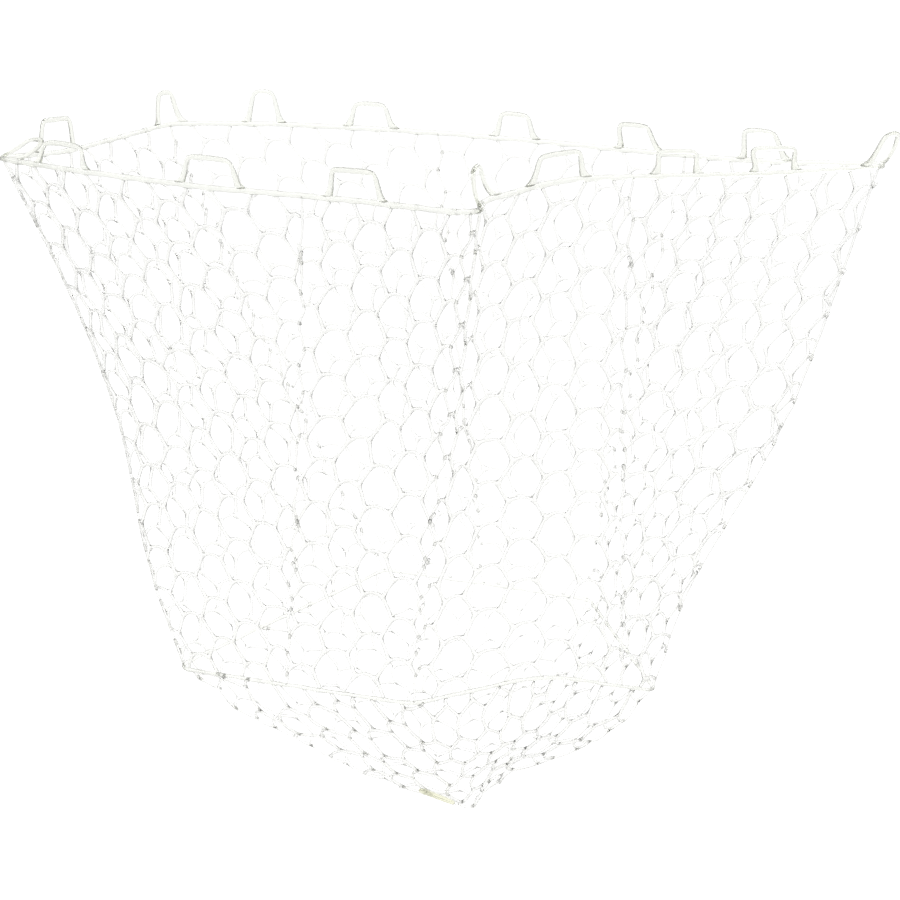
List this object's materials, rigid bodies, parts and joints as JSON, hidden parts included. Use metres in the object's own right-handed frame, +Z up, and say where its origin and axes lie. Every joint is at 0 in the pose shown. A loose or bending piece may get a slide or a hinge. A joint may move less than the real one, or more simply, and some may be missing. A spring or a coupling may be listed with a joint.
{
  "type": "landing net replacement bag",
  "caption": "Moulded clear rubber landing-net bag: hexagon mesh walls on a rim welt with belt-style hoop loops, a lower rib and a sagging mesh base.",
  "frame": {"origin": "centre of the bag's mouth, at the height of the rim welt, where the hoop lies", "axes": "+Z up out of the mouth, +X along the mouth's longest side, +Y across it"},
  "size_m": [0.577, 0.4144, 0.4509],
  "materials": {
    "clear_rubber": "satin",
    "netting_rubber": "satin"
  },
  "bodies": {
    "root": {"rim_band": "clear_rubber", "wall_panel_1": "netting_rubber", "wall_panel_2": "netting_rubber", "wall_panel_3": "netting_rubber", "wall_panel_4": "netting_rubber", "wall_panel_5": "netting_rubber", "wall_panel_6": "netting_rubber", "wall_panel_7": "netting_rubber", "wall_panel_8": "netting_rubber", "wall_seam_1": "netting_rubber", "wall_seam_2": "netting_rubber", "wall_seam_3": "netting_rubber", "wall_seam_4": "netting_rubber", "wall_seam_5": "netting_rubber", "wall_seam_6": "netting_rubber", "wall_seam_7": "netting_rubber", "wall_seam_8": "netting_rubber"},
    "base": {"lower_ring": "clear_rubber", "base_panel": "netting_rubber", "base_tab": "clear_rubber"},
    "loop_01": {"hoop_loop_01": "clear_rubber"},
    "loop_02": {"hoop_loop_02": "clear_rubber"},
    "loop_03": {"hoop_loop_03": "clear_rubber"},
    "loop_04": {"hoop_loop_04": "clear_rubber"},
    "loop_05": {"hoop_loop_05": "clear_rubber"},
    "loop_06": {"hoop_loop_06": "clear_rubber"},
    "loop_07": {"hoop_loop_07": "clear_rubber"},
    "loop_08": {"hoop_loop_08": "clear_rubber"},
    "loop_09": {"hoop_loop_09": "clear_rubber"},
    "loop_10": {"hoop_loop_10": "clear_rubber"},
    "loop_11": {"hoop_loop_11": "clear_rubber"},
    "loop_12": {"hoop_loop_12": "clear_rubber"},
    "loop_13": {"hoop_loop_13": "clear_rubber"},
    "loop_14": {"hoop_loop_14": "clear_rubber"},
    "loop_15": {"hoop_loop_15": "clear_rubber"},
    "loop_16": {"hoop_loop_16": "clear_rubber"}
  },
  "joints": [
    {"name": "bag_collapse", "type": "slide", "parent": "root", "child": "base", "axis": [0, 0, 1], "range_m": [0, 0.17], "deforming": ["wall_panel_1", "wall_panel_2", "wall_panel_3", "wall_panel_4", "wall_panel_5", "wall_panel_6", "wall_panel_7", "wall_panel_8", "wall_seam_1", "wall_seam_2", "wall_seam_3", "wall_seam_4", "wall_seam_5", "wall_seam_6", "wall_seam_7", "wall_seam_8"]},
    {"name": "loop_01_hinge", "type": "hinge", "parent": "root", "child": "loop_01", "pos_m": [-0.26623, 0.09813, -0.00517], "axis": [-0.4331, -0.9007, 0.0345], "range_deg": [-75, 75], "stiffness_Nm_per_rad": 0.004},
    {"name": "loop_02_hinge", "type": "hinge", "parent": "root", "child": "loop_02", "pos_m": [-0.28043, 0.02429, -0.00129], "axis": [0.7281, -0.6853, -0.0143], "range_deg": [-5, 130], "stiffness_Nm_per_rad": 0.004},
    {"name": "loop_03_hinge", "type": "hinge", "parent": "root", "child": "loop_03", "pos_m": [-0.24678, -0.00555, -0.00205], "axis": [0.7934, -0.6083, -0.0236], "range_deg": [-65, 85], "stiffness_Nm_per_rad": 0.004},
    {"name": "loop_04_hinge", "type": "hinge", "parent": "root", "child": "loop_04", "pos_m": [-0.14554, -0.06586, -0.00596], "axis": [0.8667, -0.4987, -0.0139], "range_deg": [-80, 70], "stiffness_Nm_per_rad": 0.004},
    {"name": "loop_05_hinge", "type": "hinge", "parent": "root", "child": "loop_05", "pos_m": [-0.05496, -0.12259, -0.00564], "axis": [0.7789, -0.6269, 0.0152], "range_deg": [-83, 67], "stiffness_Nm_per_rad": 0.004},
    {"name": "loop_06_hinge", "type": "hinge", "parent": "root", "child": "loop_06", "pos_m": [0.01808, -0.1567, -0.00209], "axis": [0.222, 0.9738, 0.0495], "range_deg": [-17, 20], "stiffness_Nm_per_rad": 0.004},
    {"name": "loop_07_hinge", "type": "hinge", "parent": "root", "child": "loop_07", "pos_m": [0.06302, -0.11626, 0.00462], "axis": [0.8571, 0.511, 0.0654], "range_deg": [-87, 63], "stiffness_Nm_per_rad": 0.004},
    {"name": "loop_08_hinge", "type": "hinge", "parent": "root", "child": "loop_08", "pos_m": [0.13612, -0.0841, 0.00368], "axis": [0.8935, 0.4472, -0.0409], "range_deg": [-65, 85], "stiffness_Nm_per_rad": 0.004},
    {"name": "loop_09_hinge", "type": "hinge", "parent": "root", "child": "loop_09", "pos_m": [0.19991, -0.04682, 0.00033], "axis": [0.8765, 0.4807, -0.0263], "range_deg": [-65, 85], "stiffness_Nm_per_rad": 0.004},
    {"name": "loop_10_hinge", "type": "hinge", "parent": "root", "child": "loop_10", "pos_m": [0.26985, -0.01234, -0.00001], "axis": [0.7729, 0.6344, -0.0106], "range_deg": [-50, 50], "stiffness_Nm_per_rad": 0.004},
    {"name": "loop_11_hinge", "type": "hinge", "parent": "root", "child": "loop_11", "pos_m": [0.2042, 0.03533, -0.00292], "axis": [-0.8327, 0.553, -0.0262], "range_deg": [-55, 95], "stiffness_Nm_per_rad": 0.004},
    {"name": "loop_12_hinge", "type": "hinge", "parent": "root", "child": "loop_12", "pos_m": [0.1286, 0.09905, -0.00446], "axis": [-0.8006, 0.5992, 0.005], "range_deg": [-50, 100], "stiffness_Nm_per_rad": 0.004},
    {"name": "loop_13_hinge", "type": "hinge", "parent": "root", "child": "loop_13", "pos_m": [0.04554, 0.14666, -0.00198], "axis": [-0.9235, 0.382, 0.035], "range_deg": [-60, 90], "stiffness_Nm_per_rad": 0.004},
    {"name": "loop_14_hinge", "type": "hinge", "parent": "root", "child": "loop_14", "pos_m": [-0.05581, 0.17718, 0.00176], "axis": [-0.9487, 0.3157, 0.0186], "range_deg": [-60, 90], "stiffness_Nm_per_rad": 0.004},
    {"name": "loop_15_hinge", "type": "hinge", "parent": "root", "child": "loop_15", "pos_m": [-0.13434, 0.20693, 0.0018], "axis": [-0.9507, 0.3098, -0.0146], "range_deg": [-25, 75], "stiffness_Nm_per_rad": 0.004},
    {"name": "loop_16_hinge", "type": "hinge", "parent": "root", "child": "loop_16", "pos_m": [-0.20534, 0.21971, -0.00025], "axis": [-0.7816, -0.6219, -0.0488], "range_deg": [-30, 70], "stiffness_Nm_per_rad": 0.004}
  ]
}
